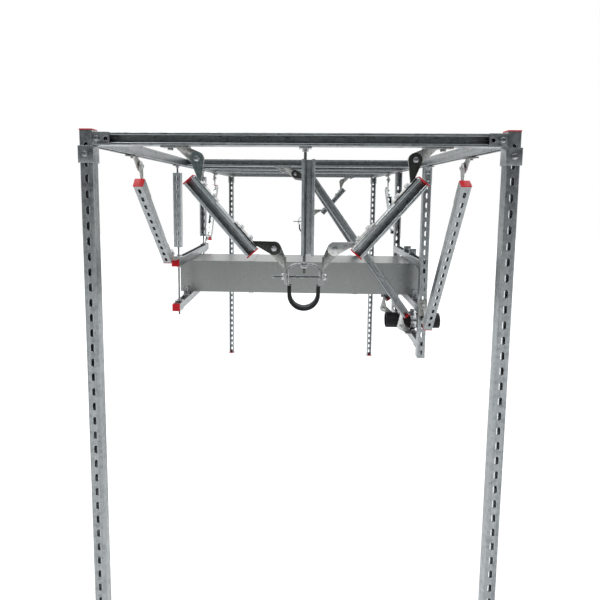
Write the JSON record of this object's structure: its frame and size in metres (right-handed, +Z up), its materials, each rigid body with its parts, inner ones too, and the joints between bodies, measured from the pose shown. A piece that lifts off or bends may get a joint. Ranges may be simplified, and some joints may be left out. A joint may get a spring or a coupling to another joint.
{
  "type": "seismic bracing display frame",
  "caption": "Strut channel display frame with hinged seismic braces that steady a sheet metal duct, a pipe and clevis pipe hangers.",
  "frame": {"origin": "centre of the overall box at the floor", "axes": "+Z up, front towards -Y, the duct along X"},
  "size_m": [1.52, 3.1066, 1.74],
  "materials": {
    "galvanised_steel": "galvanised",
    "plated_steel": "zinc plated",
    "hinge_steel": "zinc plated",
    "duct_sheet": "galvanised sheet",
    "dark_pipe": "satin",
    "red_plastic": "satin",
    "black_rubber": "matte"
  },
  "bodies": {
    "frame": {"angle_brackets": "galvanised_steel", "clevis_yokes": "plated_steel", "corner_brackets": "galvanised_steel", "duct": "duct_sheet", "duct_pads": "black_rubber", "frame_bolts": "plated_steel", "frame_end_caps": "red_plastic", "front_beam": "galvanised_steel", "front_left_post": "galvanised_steel", "front_mid_beam": "galvanised_steel", "front_right_post": "galvanised_steel", "hinge_mounts": "hinge_steel", "left_beam": "galvanised_steel", "left_lower_crossbar": "galvanised_steel", "left_upper_crossbar": "galvanised_steel", "pipe": "dark_pipe", "pipe_clamp": "plated_steel", "pipe_clamp_liner": "black_rubber", "pipe_crossbar": "galvanised_steel", "rear_beam": "galvanised_steel", "rear_left_post": "galvanised_steel", "rear_mid_beams": "galvanised_steel", "rear_right_post": "galvanised_steel", "right_beam": "galvanised_steel", "right_front_drop": "galvanised_steel", "right_lower_crossbar": "galvanised_steel", "right_rear_drop": "galvanised_steel", "right_upper_crossbar": "galvanised_steel", "rod_nuts_washers": "plated_steel", "rod_stiffeners": "galvanised_steel", "threaded_rods": "plated_steel"},
    "front_left_brace": {"front_left_brace_arms": "hinge_steel", "front_left_brace_caps": "red_plastic", "front_left_brace_channel": "galvanised_steel"},
    "front_long_brace": {"front_long_brace_arms": "hinge_steel", "front_long_brace_caps": "red_plastic", "front_long_brace_channel": "galvanised_steel"},
    "front_right_brace": {"front_right_brace_arms": "hinge_steel", "front_right_brace_caps": "red_plastic", "front_right_brace_channel": "galvanised_steel"},
    "left_front_brace": {"left_front_brace_arms": "hinge_steel", "left_front_brace_caps": "red_plastic", "left_front_brace_channel": "galvanised_steel"},
    "left_rear_brace": {"left_rear_brace_arms": "hinge_steel", "left_rear_brace_caps": "red_plastic", "left_rear_brace_channel": "galvanised_steel"},
    "rear_long_brace": {"rear_long_brace_arms": "hinge_steel", "rear_long_brace_caps": "red_plastic", "rear_long_brace_channel": "galvanised_steel"},
    "rear_right_brace": {"rear_right_brace_arms": "hinge_steel", "rear_right_brace_channel": "galvanised_steel"},
    "right_front_brace": {"right_front_brace_arms": "hinge_steel", "right_front_brace_caps": "red_plastic", "right_front_brace_channel": "galvanised_steel"},
    "right_rear_brace": {"right_rear_brace_arms": "hinge_steel", "right_rear_brace_channel": "galvanised_steel"},
    "front_clevis": {"front_clevis_strap": "plated_steel", "front_clevis_liner": "black_rubber"},
    "rear_clevis": {"rear_clevis_strap": "plated_steel", "rear_clevis_liner": "black_rubber"}
  },
  "joints": [
    {"name": "front_left_brace_swing", "type": "hinge", "parent": "frame", "child": "front_left_brace", "pos_m": [-0.379, -1.52065, 1.65], "axis": [0, 1, 0], "range_deg": [0, 41]},
    {"name": "front_long_brace_swing", "type": "hinge", "parent": "frame", "child": "front_long_brace", "pos_m": [-0.093, -0.291, 1.65], "axis": [0, 1, 0], "range_deg": [0, 35]},
    {"name": "front_right_brace_swing", "type": "hinge", "parent": "frame", "child": "front_right_brace", "pos_m": [0.303, -1.52065, 1.65], "axis": [0, 1, 0], "range_deg": [-41, 0]},
    {"name": "left_front_brace_swing", "type": "hinge", "parent": "frame", "child": "left_front_brace", "pos_m": [-0.726, -1.036, 1.65], "axis": [1, 0, 0], "range_deg": [-47, 0]},
    {"name": "left_rear_brace_swing", "type": "hinge", "parent": "frame", "child": "left_rear_brace", "pos_m": [-0.726, 0.66, 1.65], "axis": [1, 0, 0], "range_deg": [0, 37]},
    {"name": "rear_long_brace_swing", "type": "hinge", "parent": "frame", "child": "rear_long_brace", "pos_m": [-0.093, 0.151, 1.65], "axis": [0, 1, 0], "range_deg": [0, 34]},
    {"name": "rear_right_brace_swing", "type": "hinge", "parent": "frame", "child": "rear_right_brace", "pos_m": [0.303, 1.52065, 1.65], "axis": [0, 1, 0], "range_deg": [-41, 0]},
    {"name": "right_front_brace_swing", "type": "hinge", "parent": "frame", "child": "right_front_brace", "pos_m": [0.605, -1.041, 1.65], "axis": [1, 0, 0], "range_deg": [-34, 0]},
    {"name": "right_rear_brace_swing", "type": "hinge", "parent": "frame", "child": "right_rear_brace", "pos_m": [0.605, 0.759, 1.65], "axis": [1, 0, 0], "range_deg": [0, 45]},
    {"name": "front_clevis_swing", "type": "hinge", "parent": "frame", "child": "front_clevis", "pos_m": [-0.038, -1.52065, 1.277], "axis": [1, 0, 0], "range_deg": [-25, 25]},
    {"name": "rear_clevis_swing", "type": "hinge", "parent": "frame", "child": "rear_clevis", "pos_m": [-0.038, 1.52065, 1.277], "axis": [1, 0, 0], "range_deg": [-25, 25]}
  ]
}
